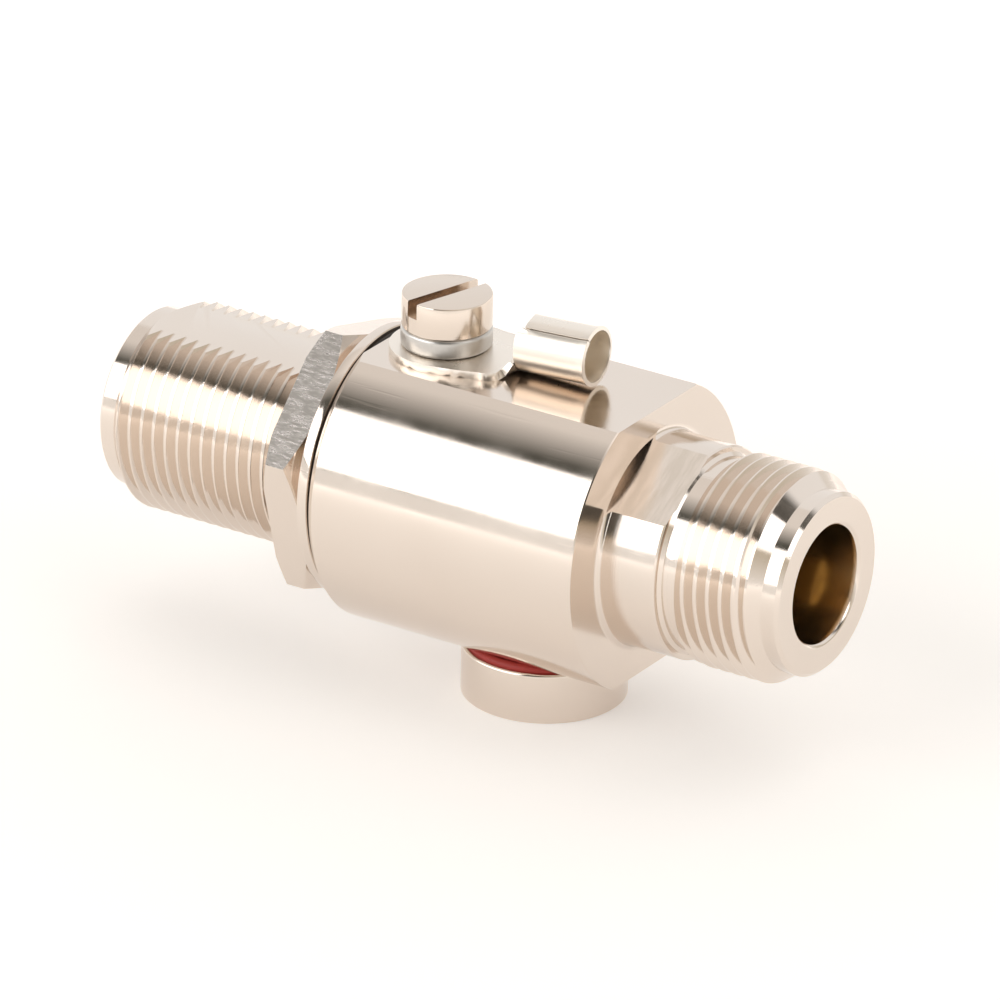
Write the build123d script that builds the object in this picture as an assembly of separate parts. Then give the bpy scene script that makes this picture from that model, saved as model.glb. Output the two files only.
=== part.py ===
from build123d import *
import math
import os

# Coax lightning arrestor: a turned body with a bulkhead thread at the rear, a screwed-in front jack,
# a ground screw with its ring terminal on top, and a gas tube held from below by a screw cap.
# The arrestor stands on the cap. The coax axis runs along X at height axis_h. Front is +X.

# coax thread, 5/8-24 UNEF, on both ends
thread_r = 7.9              # crest radius
thread_root_r = 7.25        # root radius, also the relief groove behind the front thread
socket_r = 4.35             # bore that receives the plug's outer contact
socket_depth = 9.1          # front face to the reference plane
line_r = 3.5                # outer conductor at the reference plane
contact_recess = 4.2        # contact tip behind the face

# body
body_r = 11.4
body_len = 22.75
body_front = 9.2            # x of the body's front face, with the cap's axis at x = 0
flat_h = 10.1               # top and bottom flats, from the coax axis
rear_chamfer = 0.6
cavity_r = 4.6              # cavity round the centre conductor, also the front insulator's pocket

# rear barrel, turned in one piece with the body
barrel_len = 21.22
nose_r = 6.8                # reduced nose in front of both threads
rear_nose_len = 1.4
thread_chamfer_len = thread_r - nose_r      # 45 degrees
d_flat_h = 6.8              # flat along the barrel, from the coax axis
barrel_cavity_r = 5.8       # wider cavity in the barrel, also the rear insulator's pocket

# front jack
neck_r = 7.95
neck_len = 4.85
wrench_flat = 7.2           # half of the distance across the two wrench flats
wrench_turn = 30.4          # the flats' normal, turned from +Z towards the viewer's side (-Y)
relief_len = 1.65
front_thread_len = 5.5
front_nose_len = 1.1
face_chamfer = 0.28
spigot_r = 7.0
spigot_len = 3.5

# bulkhead nut, washer and gasket
nut_across_flats = 19.0
nut_t = 3.1
nut_turn = 15.6             # angle of one nut corner from +Z towards -Y
nut_front_chamfer_r = 9.2   # radius where the 30 degree chamfer meets the face, front side
nut_rear_chamfer_r = 10.0
gasket_t = 0.5
gasket_r = 10.2             # just proud of the flats
washer_t = 0.85
washer_r = 10.4

# centre line
conductor_r = 2.0
contact_r = 1.52
contact_bore_r = 0.84
contact_bore_len = 5.2
slot_w = 0.3
slot_len = 4.0
collar_r = 1.95
collar_t = 0.8
stud_r = 0.9
stud_len = 2.2
insulator_t = 3.0
bush_t = 3.3
bush_wall = 0.9

# gas tube
tube_r = 4.0
tube_len = 6.0
tube_top = -1.5             # upper electrode, measured from the coax axis
electrode_t = 0.7
electrode_boss_r = 2.0
spark_gap = 0.6
ceramic_bore_r = 3.0

# tube cap
cap_r = 6.1
cap_head_t = 3.9
cap_gap = 0.5               # between the bottom flat and the cap's head, taken up by the seal
cap_thread_r = 5.0
cap_stem_len = 3.4
cap_pocket_r = 4.2
cap_pocket_depth = 2.7
spanner_hole_r = 0.8
spanner_hole_x = 3.8
spanner_hole_depth = 1.4
seal_r = 0.4
seal_groove = 0.3
well_r = 4.3
spring_t = 0.3              # dished contact spring, thickness of its sheet
spring_tip_r = 2.0
spring_fingers = 6
finger_gap = 0.5

# ring terminal, from the ground screw's axis; its barrel points along the body
eye_r = 4.35
eye_shift = 0.2             # the eye's centre lies this far towards the barrel
plate_t = 0.6
plate_hole_r = 2.3
tongue_reach = 4.6          # end of the wide tongue
tongue_w = 6.4
ferrule_r = 2.12
ferrule_bore_r = 1.57
ferrule_rear = 6.05
ferrule_len = 6.3
ferrule_lift = 2.2          # barrel axis above the body's flat, at the barrel's rear
ferrule_rise = 1.8          # the barrel tips up by this angle
mouth_r = 2.3
mouth_len = 0.8
seam_w = 0.12
terminal_turn = 3.6         # the terminal is turned about the screw, away from the viewer's side

# ground screw and spring washer
screw_r = 2.0
screw_len = 5.2             # under the head
head_r = 3.31
head_t = 2.5
head_slot_w = 1.0
head_slot_depth = 1.2
head_slot_turn = 72.8
lock_r = 3.35
lock_bore_r = 2.1
lock_t = 1.5
lock_gap = 0.5              # the split
lock_turn = 140.0

# clearances
running = 0.05              # radial, between a turning or sliding piece and what it runs on
seated = 0.01               # radial, between pieces that stay put

axis_h = flat_h + cap_gap + cap_head_t      # coax axis above the surface that the cap stands on
body_rear = body_front - body_len
screw_x = body_rear + eye_r - eye_shift + 0.5
reach = 2 * body_r                          # longer than any cut needs to be
rear_tip = body_rear - barrel_len
neck_front = body_front + neck_len
thread_start = neck_front + relief_len
thread_end = thread_start + front_thread_len
nose_start = thread_end + thread_chamfer_len
front_face = nose_start + front_nose_len + face_chamfer
washer_front = body_rear - gasket_t
nut_front = washer_front - washer_t
nut_rear = nut_front - nut_t
rear_reference = rear_tip + socket_depth
front_reference = front_face - socket_depth
line_len = 2.1
rear_pocket = rear_reference + line_len
front_pocket = front_reference - line_len
spigot_rear = body_front - spigot_len
head_top = -(flat_h + cap_gap)
plate_top = flat_h + plate_t
head_under = plate_top + lock_t


def turned(points):
    """Solid of revolution about the coax axis from a closed outline of (x, radius) points."""
    outline = Polyline([(x, r) for x, r in points], close=True)
    return revolve(make_face(outline), Axis.X).moved(Location((0, 0, 0)))


def upright(points, x=0.0):
    """Solid of revolution about a vertical axis at x, from (radius, height) points."""
    outline = Polyline([(r, 0, z) for r, z in points], close=True)
    return revolve(make_face(outline), Axis.Z).moved(Location((x, 0, 0)))


def block(x0, x1, y0, y1, z0, z1):
    """Box between two corners."""
    box = Box(x1 - x0, y1 - y0, z1 - z0, align=(Align.MIN, Align.MIN, Align.MIN))
    return box.moved(Location((x0, y0, z0)))


def tilted(solid, angle):
    """Turn a solid about the coax axis, from +Z towards -Y."""
    return solid.rotate(Axis.X, angle)


def housing():
    """Body and rear bulkhead barrel, one turned piece with its flats, wells and bores."""
    nose_x = rear_tip + rear_nose_len
    body = turned([
        (rear_tip, 0),
        (rear_tip, nose_r - face_chamfer),
        (rear_tip + face_chamfer, nose_r),
        (nose_x, nose_r),
        (nose_x + thread_chamfer_len, thread_r),
        (body_rear, thread_r),
        (body_rear, body_r - rear_chamfer),
        (body_rear + rear_chamfer, body_r),
        (body_front, body_r),
        (body_front, 0),
    ])
    body -= block(body_rear - 1, body_front + 1, -reach, reach, flat_h, reach)
    body -= block(body_rear - 1, body_front + 1, -reach, reach, -reach, -flat_h)
    body -= block(rear_tip - 1, body_rear, -reach, reach, d_flat_h, reach)
    body -= turned([
        (rear_tip - 1, 0),
        (rear_tip - 1, socket_r + face_chamfer),
        (rear_tip, socket_r + face_chamfer),
        (rear_tip + face_chamfer, socket_r),
        (rear_reference, socket_r),
        (rear_reference, line_r),
        (rear_pocket, line_r),
        (rear_pocket, barrel_cavity_r),
        (body_rear, barrel_cavity_r),
        (body_rear, cavity_r),
        (spigot_rear, cavity_r),
        (spigot_rear, spigot_r + seated),
        (body_front + 1, spigot_r + seated),
        (body_front + 1, 0),
    ])
    thread_top = head_top + cap_stem_len + 0.2
    body -= upright([
        (0, -flat_h - 1),
        (cap_thread_r + running, -flat_h - 1),
        (cap_thread_r + running, thread_top),
        (well_r, thread_top),
        (well_r, 0),
        (0, 0),
    ])
    tap_end = head_under - screw_len - 0.5
    body -= upright([
        (0, tap_end),
        (screw_r + running, tap_end),
        (screw_r + running, flat_h + 1),
        (0, flat_h + 1),
    ], screw_x)
    return body


def front_jack():
    """Jack that screws into the body: spigot, neck with two wrench flats, thread and reduced nose."""
    jack = turned([
        (spigot_rear, 0),
        (spigot_rear, spigot_r),
        (body_front, spigot_r),
        (body_front, neck_r),
        (neck_front, neck_r),
        (neck_front, thread_root_r),
        (thread_start - 0.5, thread_root_r),
        (thread_start, thread_r),
        (thread_end, thread_r),
        (nose_start, nose_r),
        (front_face - face_chamfer, nose_r),
        (front_face, nose_r - face_chamfer),
        (front_face, 0),
    ])
    for side in (1, -1):
        near, far = sorted((side * wrench_flat, side * reach))
        cut = block(body_front, neck_front + 0.1, -reach, reach, near, far)
        jack -= tilted(cut, wrench_turn)
    jack -= turned([
        (front_face + 1, 0),
        (front_face + 1, socket_r + face_chamfer),
        (front_face, socket_r + face_chamfer),
        (front_face - face_chamfer, socket_r),
        (front_reference, socket_r),
        (front_reference, line_r),
        (front_pocket, line_r),
        (front_pocket, cavity_r),
        (spigot_rear - 1, cavity_r),
        (spigot_rear - 1, 0),
    ])
    return jack


def hex_nut():
    """Bulkhead nut, chamfered at 30 degrees on both faces."""
    corner_r = nut_across_flats / 2 / math.cos(math.pi / 6)
    front_drop = (corner_r - nut_front_chamfer_r) * math.tan(math.pi / 6)
    rear_drop = (corner_r - nut_rear_chamfer_r) * math.tan(math.pi / 6)
    bore = thread_r + running
    blank = turned([
        (nut_rear, bore),
        (nut_rear, nut_rear_chamfer_r),
        (nut_rear + rear_drop, corner_r),
        (nut_front - front_drop, corner_r),
        (nut_front, nut_front_chamfer_r),
        (nut_front, bore),
    ])
    nut = blank
    for k in range(6):
        cut = block(nut_rear - 1, nut_front + 1, -reach, reach, nut_across_flats / 2, reach)
        nut -= tilted(cut, nut_turn + 30 + 60 * k)
    return nut


def bulkhead_washer():
    """Flat washer between the nut and the panel."""
    bore = thread_r + running
    return turned([
        (nut_front, bore),
        (nut_front, washer_r),
        (washer_front, washer_r),
        (washer_front, bore),
    ])


def bulkhead_gasket():
    """Rubber gasket against the body's shoulder."""
    return turned([
        (washer_front, thread_r + seated),
        (washer_front, gasket_r),
        (body_rear, gasket_r),
        (body_rear, thread_r + seated),
    ])


def centre_conductor():
    """Rod between the two insulators, with a flat for the gas tube and a stud at each end."""
    rear = rear_pocket + insulator_t
    front = front_pocket - insulator_t
    rod = turned([
        (rear - stud_len, 0),
        (rear - stud_len, stud_r),
        (rear, stud_r),
        (rear, conductor_r),
        (front, conductor_r),
        (front, stud_r),
        (front + stud_len, stud_r),
        (front + stud_len, 0),
    ])
    rod -= block(-tube_r - 0.3, tube_r + 0.3, -reach, reach, -reach, tube_top)
    return rod


def contact(tip, inner, collar):
    """Slotted female contact from its tip to its base, with a collar against the insulator."""
    way = 1 if inner > tip else -1
    stud_hole = inner - way * (stud_len + 0.2)
    body = turned([
        (tip, 0),
        (tip, contact_r),
        (collar - way * collar_t, contact_r),
        (collar - way * collar_t, collar_r),
        (collar, collar_r),
        (collar, contact_r),
        (inner, contact_r),
        (inner, 0),
    ])
    body -= turned([
        (tip - way, 0),
        (tip - way, contact_bore_r + 0.2),
        (tip, contact_bore_r + 0.2),
        (tip + way * 0.2, contact_bore_r),
        (tip + way * contact_bore_len, contact_bore_r),
        (tip + way * contact_bore_len, 0),
    ])
    body -= turned([
        (inner + way, 0),
        (inner + way, stud_r + seated),
        (stud_hole, stud_r + seated),
        (stud_hole, 0),
    ])
    x0, x1 = sorted((tip - way, tip + way * slot_len))
    body -= block(x0, x1, -slot_w / 2, slot_w / 2, -reach, reach)
    body -= block(x0, x1, -reach, reach, -slot_w / 2, slot_w / 2)
    return body


def rear_contact():
    """Contact in the rear socket."""
    return contact(rear_tip + contact_recess, rear_pocket + insulator_t, rear_pocket)


def front_contact():
    """Contact in the front socket."""
    return contact(front_face - contact_recess, front_pocket - insulator_t, front_pocket)


def insulator(x0, x1, pocket_r):
    """Fluoropolymer bead that carries a contact."""
    return turned([
        (x0, contact_r + seated),
        (x0, pocket_r - seated),
        (x1, pocket_r - seated),
        (x1, contact_r + seated),
    ])


def rear_insulator():
    """Bead in the rear pocket."""
    return insulator(rear_pocket, rear_pocket + insulator_t, barrel_cavity_r)


def front_insulator():
    """Bead in the front jack's pocket."""
    return insulator(front_pocket - insulator_t, front_pocket, cavity_r)


def bush(x0, x1, pocket_r):
    """Sleeve that holds an insulator in its pocket."""
    return turned([
        (x0, pocket_r - bush_wall),
        (x0, pocket_r - seated),
        (x1, pocket_r - seated),
        (x1, pocket_r - bush_wall),
    ])


def rear_bush():
    """Sleeve behind the rear bead."""
    x0 = rear_pocket + insulator_t
    return bush(x0, x0 + bush_t, barrel_cavity_r)


def front_bush():
    """Sleeve behind the front bead."""
    x1 = front_pocket - insulator_t
    return bush(x1 - bush_t, x1, cavity_r)


def electrode(z, way):
    """Metal end of the gas tube at height z; way is +1 when its boss points down."""
    boss = (tube_len - spark_gap) / 2
    return upright([
        (0, z),
        (tube_r - 0.1, z),
        (tube_r - 0.1, z - way * electrode_t),
        (electrode_boss_r, z - way * electrode_t),
        (electrode_boss_r, z - way * boss),
        (0, z - way * boss),
    ])


def tube_upper_electrode():
    """Electrode that touches the centre conductor."""
    return electrode(tube_top, 1)


def tube_lower_electrode():
    """Electrode that the contact spring presses on."""
    return electrode(tube_top - tube_len, -1)


def tube_ceramic():
    """Ceramic ring between the electrodes."""
    top = tube_top - electrode_t
    bottom = tube_top - tube_len + electrode_t
    return upright([
        (ceramic_bore_r, bottom),
        (tube_r, bottom),
        (tube_r, top),
        (ceramic_bore_r, top),
    ])


def contact_spring():
    """Dished spring with six fingers, between the cap's pocket and the gas tube."""
    floor = head_top + cap_stem_len - cap_pocket_depth
    top = tube_top - tube_len
    rim = cap_pocket_r - 0.1
    dish = upright([
        (rim, floor),
        (rim, floor + spring_t),
        (rim - 0.6, floor + spring_t),
        (spring_tip_r + 0.4, top),
        (spring_tip_r, top),
        (spring_tip_r, top - spring_t),
        (rim - 0.8, floor),
    ])
    for k in range(spring_fingers):
        gap = block(0, rim - 0.9, -finger_gap / 2, finger_gap / 2, floor - 1, top + 1)
        dish -= gap.rotate(Axis.Z, 360 * k / spring_fingers)
    return dish


def tube_cap():
    """Screw cap under the gas tube: threaded stem with a pocket, seal groove and two spanner holes."""
    stem_top = head_top + cap_stem_len
    seal_out = cap_thread_r + 2 * seal_r + 0.02
    cap = upright([
        (0, -axis_h),
        (cap_r, -axis_h),
        (cap_r, head_top),
        (seal_out, head_top),
        (seal_out, head_top - seal_groove),
        (cap_thread_r, head_top - seal_groove),
        (cap_thread_r, stem_top),
        (cap_pocket_r, stem_top),
        (cap_pocket_r, stem_top - cap_pocket_depth),
        (0, stem_top - cap_pocket_depth),
    ])
    for x in (spanner_hole_x, -spanner_hole_x):
        hole = Cylinder(spanner_hole_r, 2 * spanner_hole_depth)
        cap -= hole.moved(Location((x, 0, -axis_h)))
    return cap


def cap_seal():
    """O-ring between the cap's head and the bottom flat, its section an eight-sided figure."""
    centre = cap_thread_r + seated + seal_r
    height = head_top - seal_groove + seal_r
    corner_r = seal_r / math.cos(math.radians(22.5))
    turns = [math.radians(22.5 + 45 * k) for k in range(8)]
    return upright([(centre + corner_r * math.cos(t), height + corner_r * math.sin(t)) for t in turns])


def ground_screw():
    """Slotted cheese head screw."""
    screw = upright([
        (0, head_under - screw_len),
        (screw_r - 0.4, head_under - screw_len),
        (screw_r, head_under - screw_len + 0.4),
        (screw_r, head_under),
        (head_r, head_under),
        (head_r, head_under + head_t),
        (0, head_under + head_t),
    ])
    slot_floor = head_under + head_t - head_slot_depth
    slot = block(-reach, reach, -head_slot_w / 2, head_slot_w / 2, slot_floor, reach)
    screw -= slot.rotate(Axis.Z, head_slot_turn)
    return screw.moved(Location((screw_x, 0, 0)))


def spring_washer():
    """Split lock washer, pressed flat under the screw head."""
    ring = upright([
        (lock_bore_r, plate_top),
        (lock_r, plate_top),
        (lock_r, head_under),
        (lock_bore_r, head_under),
    ])
    split = block(0, reach, -lock_gap / 2, lock_gap / 2, plate_top - 1, head_under + 1)
    ring -= split.rotate(Axis.Z, lock_turn)
    return ring.moved(Location((screw_x, 0, 0)))


def ring_terminal():
    """Ring terminal: an eye with a tapering tongue, and a rolled barrel with its seam on top."""
    edges = (Pos(eye_shift, 0) * Circle(eye_r)).edges()
    edges += (Pos(tongue_reach - 0.3, 0) * Rectangle(0.6, tongue_w)).edges()
    edges += (Pos(ferrule_rear + 0.5, 0) * Rectangle(0.6, 2 * ferrule_bore_r)).edges()
    plate = extrude(make_hull(edges), plate_t)
    tube = Polyline([
        (0, ferrule_bore_r),
        (0, ferrule_r),
        (ferrule_len - mouth_len, ferrule_r),
        (ferrule_len, mouth_r),
        (ferrule_len, mouth_r - ferrule_r + ferrule_bore_r),
        (ferrule_len - mouth_len, ferrule_bore_r),
    ], close=True)
    barrel = revolve(make_face(tube), Axis.X)
    barrel -= block(-1, ferrule_len + 1, -seam_w / 2, seam_w / 2, 0, 2 * mouth_r)
    barrel = barrel.rotate(Axis.Y, -ferrule_rise).moved(Location((ferrule_rear, 0, ferrule_lift)))
    wire_way = Cylinder(ferrule_bore_r, 2, rotation=(0, 90, 0), align=(Align.CENTER, Align.CENTER, Align.MAX))
    wire_way = wire_way.rotate(Axis.Y, -ferrule_rise).moved(Location((ferrule_rear + 1, 0, ferrule_lift)))
    terminal = plate - wire_way + barrel - Cylinder(plate_hole_r, 4 * plate_t)
    return terminal.rotate(Axis.Z, terminal_turn).moved(Location((screw_x, 0, flat_h)))


NODES = {
    "housing": housing,
    "front_jack": front_jack,
    "hex_nut": hex_nut,
    "bulkhead_washer": bulkhead_washer,
    "bulkhead_gasket": bulkhead_gasket,
    "centre_conductor": centre_conductor,
    "rear_contact": rear_contact,
    "front_contact": front_contact,
    "rear_insulator": rear_insulator,
    "front_insulator": front_insulator,
    "rear_bush": rear_bush,
    "front_bush": front_bush,
    "tube_upper_electrode": tube_upper_electrode,
    "tube_lower_electrode": tube_lower_electrode,
    "tube_ceramic": tube_ceramic,
    "contact_spring": contact_spring,
    "tube_cap": tube_cap,
    "cap_seal": cap_seal,
    "ground_screw": ground_screw,
    "spring_washer": spring_washer,
    "ring_terminal": ring_terminal,
}

os.makedirs("parts", exist_ok=True)
for name, make in NODES.items():
    piece = make().moved(Location((0, 0, axis_h)))
    solids = piece.solids()
    piece = solids[0] if len(solids) == 1 else Compound(solids)
    piece.label = name
    export_step(piece, f"parts/{name}.step")
    size = piece.bounding_box().size
    print(f"{name:22s} solids {len(solids)} volume {piece.volume:9.2f} size {size.X:.2f} {size.Y:.2f} {size.Z:.2f}")
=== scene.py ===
# %% [markdown]
# # A coax lightning arrestor, dressed in Blender
#
# The arrestor is a small turned fitting of nickel plated brass. A round body with two milled flats carries a
# bulkhead thread at the back and a screwed-in jack at the front. A ground screw clamps a ring terminal on
# top, and a screw cap underneath holds the gas tube. The solid model comes in as a fixed frame. Pieces
# whose finish shows are modelled again here with their real threads and small edges, in the same place.

# %% Load the frame
import math

import bmesh
import bpy
from mathutils import Matrix, Vector


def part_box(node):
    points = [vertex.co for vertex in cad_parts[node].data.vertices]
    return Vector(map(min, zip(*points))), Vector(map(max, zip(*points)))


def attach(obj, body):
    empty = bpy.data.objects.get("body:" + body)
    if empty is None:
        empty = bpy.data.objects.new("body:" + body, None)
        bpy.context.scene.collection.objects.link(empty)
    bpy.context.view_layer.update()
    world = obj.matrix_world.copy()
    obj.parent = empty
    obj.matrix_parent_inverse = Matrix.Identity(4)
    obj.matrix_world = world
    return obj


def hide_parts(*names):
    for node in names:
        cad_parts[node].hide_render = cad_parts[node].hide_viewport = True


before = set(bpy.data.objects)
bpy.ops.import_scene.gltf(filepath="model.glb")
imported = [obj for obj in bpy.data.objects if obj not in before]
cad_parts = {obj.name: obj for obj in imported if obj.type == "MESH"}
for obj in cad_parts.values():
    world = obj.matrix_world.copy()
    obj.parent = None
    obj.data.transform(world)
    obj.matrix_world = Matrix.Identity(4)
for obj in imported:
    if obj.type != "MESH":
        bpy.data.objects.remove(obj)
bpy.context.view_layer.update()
mm = 0.001

# %% [markdown]
# ## Sizes from the frame
#
# The driving sizes are read from the solid model, so that a changed part moves the dressed pieces with it.
# Lengths are in millimetres from here on, and become metres only when a mesh is finished. The coax axis
# runs along X through the middle of the front jack.

# %% Read the driving sizes
def span(node):
    """Lowest and highest corner of a node, in millimetres."""
    low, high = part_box(node)
    return low / mm, high / mm


body_low, body_high = span("housing")
jack_low, jack_high = span("front_jack")
nut_low, nut_high = span("hex_nut")
washer_low, washer_high = span("bulkhead_washer")
gasket_low, gasket_high = span("bulkhead_gasket")
cap_low, cap_high = span("tube_cap")
screw_low, screw_high = span("ground_screw")
lock_low, lock_high = span("spring_washer")
axis_z = (jack_low.z + jack_high.z) / 2
body_r = body_high.y
flat_h = body_high.z - axis_z
rear_tip, body_front = body_low.x, body_high.x
body_rear, front_face = gasket_high.x, jack_high.x
screw_x = (screw_low.x + screw_high.x) / 2
print("axis height", round(axis_z, 2), "body radius", round(body_r, 2), "flat", round(flat_h, 2))

# %% [markdown]
# ## The camera
#
# The photograph was taken from a long way off with a long lens, about a third of the way round from the
# side to the front, and about 24 degrees above the table. These values come from matching the arrestor's
# circles and edges with the photograph. The camera looks at the middle of the body's front face, and is
# moved sideways so that the arrestor sits in the frame as it does there.

# %% Place the camera
camera_turn = math.radians(32.586)
camera_rise = math.radians(24.271)
camera_roll = math.radians(1.0)
camera_distance = 890.136 * mm
side_shift, up_shift = 11.154 * mm, -2.660 * mm


def towards(turn, rise):
    """Direction from the arrestor, turned from its side to its front and raised from the table."""
    return Vector((
        math.sin(turn) * math.cos(rise),
        -math.cos(turn) * math.cos(rise),
        math.sin(rise),
    ))


back = towards(camera_turn, camera_rise)
level = Vector((math.cos(camera_turn), math.sin(camera_turn), 0))
rise = back.cross(level)
camera_right = level * math.cos(camera_roll) + rise * math.sin(camera_roll)
camera_up = rise * math.cos(camera_roll) - level * math.sin(camera_roll)
aim = Vector((body_front, 0, axis_z)) * mm
camera_data = bpy.data.cameras.new("long lens")
camera_data.sensor_width = 36
camera_data.lens = 446.09
camera = bpy.data.objects.new("camera", camera_data)
bpy.context.scene.collection.objects.link(camera)
place = Matrix((camera_right, camera_up, back)).transposed().to_4x4()
place.translation = aim + back * camera_distance - camera_right * side_shift - camera_up * up_shift
camera.matrix_world = place
bpy.context.scene.camera = camera
print("camera at", [round(c, 4) for c in place.translation])

# %% [markdown]
# ## Tools for turned pieces
#
# Nearly every piece here comes off a lathe, so one helper spins an outline about the coax axis or about an
# upright one, and a quarter turn rounds an outline's corners. Another cuts or joins two closed solids, as a
# mill or a tap would. A last one turns the mesh into an object, with faces shaded smooth and the edges above
# a given angle kept sharp.

# %% Spin, cut and finish
def spun(outline, centre=(0, 0), upright=False, steps=160):
    """Closed solid from (along, radius) points, turned about the coax axis or an upright one."""
    bm = bmesh.new()
    x0, y0 = centre
    corners = []
    for along, radius in outline:
        spot = (x0 + radius, y0, axis_z + along) if upright else (along, 0, axis_z + radius)
        corners.append(bm.verts.new(spot))
    for here, there in zip(corners, corners[1:] + corners[:1]):
        bm.edges.new((here, there))
    turn_axis = (0, 0, 1) if upright else (1, 0, 0)
    pivot = (x0, y0, 0) if upright else (0, 0, axis_z)
    bmesh.ops.spin(
        bm, geom=bm.verts[:] + bm.edges[:], cent=pivot, axis=turn_axis,
        angle=2 * math.pi, steps=steps, use_merge=True,
    )
    bmesh.ops.remove_doubles(bm, verts=bm.verts, dist=1e-4)
    bmesh.ops.dissolve_degenerate(bm, edges=bm.edges, dist=1e-5)
    bmesh.ops.recalc_face_normals(bm, faces=bm.faces)
    return bm


def quarter_round(radius, steps=5):
    """Offsets from a rounded corner's two sides, along a quarter turn."""
    turns = [math.pi / 2 * k / steps for k in range(steps + 1)]
    return [(radius * (1 - math.cos(turn)), radius * (1 - math.sin(turn))) for turn in turns]


def block(low, high):
    """Box between two corners."""
    bm = bmesh.new()
    bmesh.ops.create_cube(bm, size=1)
    size = Vector(high) - Vector(low)
    bmesh.ops.scale(bm, vec=size, verts=bm.verts)
    bmesh.ops.translate(bm, vec=Vector(low) + size / 2, verts=bm.verts)
    return bm


def tilted(bm, degrees):
    """Turn a solid about the coax axis, from +Z towards the viewer's side."""
    turn = Matrix.Rotation(math.radians(degrees), 3, "X")
    bmesh.ops.rotate(bm, cent=(0, 0, axis_z), matrix=turn, verts=bm.verts)
    return bm


def as_object(bm, name):
    """Object in the scene from a bmesh, which is used up."""
    mesh = bpy.data.meshes.new(name)
    bm.to_mesh(mesh)
    bm.free()
    made = bpy.data.objects.new(name, mesh)
    bpy.context.scene.collection.objects.link(made)
    return made


def combined(solid, tool, operation="DIFFERENCE"):
    """Cut the tool from the solid, or join it, and return the result as a bmesh."""
    base, other = as_object(solid, "base"), as_object(tool, "tool")
    step = base.modifiers.new("step", "BOOLEAN")
    step.object = other
    step.operation = operation
    step.solver = "MANIFOLD"
    seen = base.evaluated_get(bpy.context.evaluated_depsgraph_get())
    result = bmesh.new()
    result.from_mesh(seen.to_mesh())
    bpy.data.objects.remove(base)
    bpy.data.objects.remove(other)
    return result


def finished(bm, name, body, replaces, sharp=24):
    """Object in metres that rides on a body and stands for CAD nodes."""
    bmesh.ops.remove_doubles(bm, verts=bm.verts, dist=2e-4)
    bmesh.ops.dissolve_degenerate(bm, edges=bm.edges, dist=1e-4)
    bmesh.ops.scale(bm, vec=(mm, mm, mm), verts=bm.verts)
    for face in bm.faces:
        face.smooth = True
    for edge in bm.edges:
        edge.smooth = len(edge.link_faces) == 2 and edge.calc_face_angle(0) < math.radians(sharp)
    loose = sum(1 for edge in bm.edges if len(edge.link_faces) != 2)
    faces = len(bm.faces)
    made = as_object(bm, name)
    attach(made, body)
    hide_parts(*replaces)
    print(f"{name}: {faces} faces, {loose} open edges")
    return made


# %% [markdown]
# ## The coupling thread
#
# Both ends carry a 24 turns to the inch thread. A V shaped tool follows a helix round the blank and cuts the
# groove, as a threading tool on a lathe does. That gives the true crests, and the groove fades out on the
# chamfer at the thread's start by itself. The tool is a small blunt V that is spun and shifted at once.

# %% Thread cutter
coupling_pitch = 25.4 / 24
thread_r = 7.9
thread_root_r = 7.25


def thread_tool(start, end, crest_r, root_r, pitch, phase=0.0, upright_at=None, steps=96, inner=False):
    """V groove along a helix, from start to end along the axis; inner makes it for a nut's bore."""
    slope = math.tan(math.radians(30))      # half of the 60 degree V
    depth = abs(crest_r - root_r)
    root_half = 0.083 * pitch               # the groove has a narrow flat bottom
    over = 0.09                             # the tool stands this far clear of the crest
    mouth_r = crest_r - over if inner else crest_r + over
    mouth_half = root_half + (depth + over) * slope
    bm = bmesh.new()
    spots = [(-mouth_half, mouth_r), (-root_half, root_r), (root_half, root_r), (mouth_half, mouth_r)]
    corners = []
    for along, radius in spots:
        if upright_at is None:
            corners.append(bm.verts.new((start + along, 0, axis_z + radius)))
        else:
            corners.append(bm.verts.new((upright_at + radius, 0, axis_z + start + along)))
    face = bm.faces.new(corners)
    turns = (end - start) / pitch
    count = max(8, round(turns * steps))
    axis = Vector((0, 0, 1)) if upright_at is not None else Vector((1, 0, 0))
    pivot = Vector((upright_at, 0, 0)) if upright_at is not None else Vector((0, 0, axis_z))
    bmesh.ops.rotate(bm, cent=pivot, matrix=Matrix.Rotation(phase, 3, axis), verts=bm.verts)
    bmesh.ops.spin(
        bm, geom=[face], cent=pivot, axis=axis, dvec=axis * (end - start) / count,
        angle=2 * math.pi * turns, steps=count,
    )
    bmesh.ops.recalc_face_normals(bm, faces=bm.faces)
    return bm


# %% [markdown]
# ## Body
#
# The body is a drum with a flat milled on top for the terminal and one below for the cap. It could be a
# cylinder with moved vertices, but a spun outline keeps the chamfers true, and cutting with boxes gives the
# flats their straight milled edges.

# %% Body blank
nose_r = 6.8
rear_nose_len = 1.4
thread_chamfer = thread_r - nose_r
relief_len = 0.9
d_flat_h = 6.8
face_chamfer = 0.28         # on the faces of both sockets, inside and out
rear_chamfer = 0.6
far = 2 * body_r            # half the size of a cutting box, well outside every piece

drum = spun([
    (body_rear, 0),
    (body_rear, body_r - rear_chamfer),
    (body_rear + rear_chamfer, body_r),
    (body_front - 0.1, body_r),
    (body_front, body_r - 0.06),
    (body_front, 0),
], steps=200)
for top in (1, -1):
    near_z, far_z = sorted((axis_z + top * flat_h, axis_z + top * far))
    drum = combined(drum, block((body_rear - 1, -far, near_z), (body_front + 1, far, far_z)))

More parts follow.
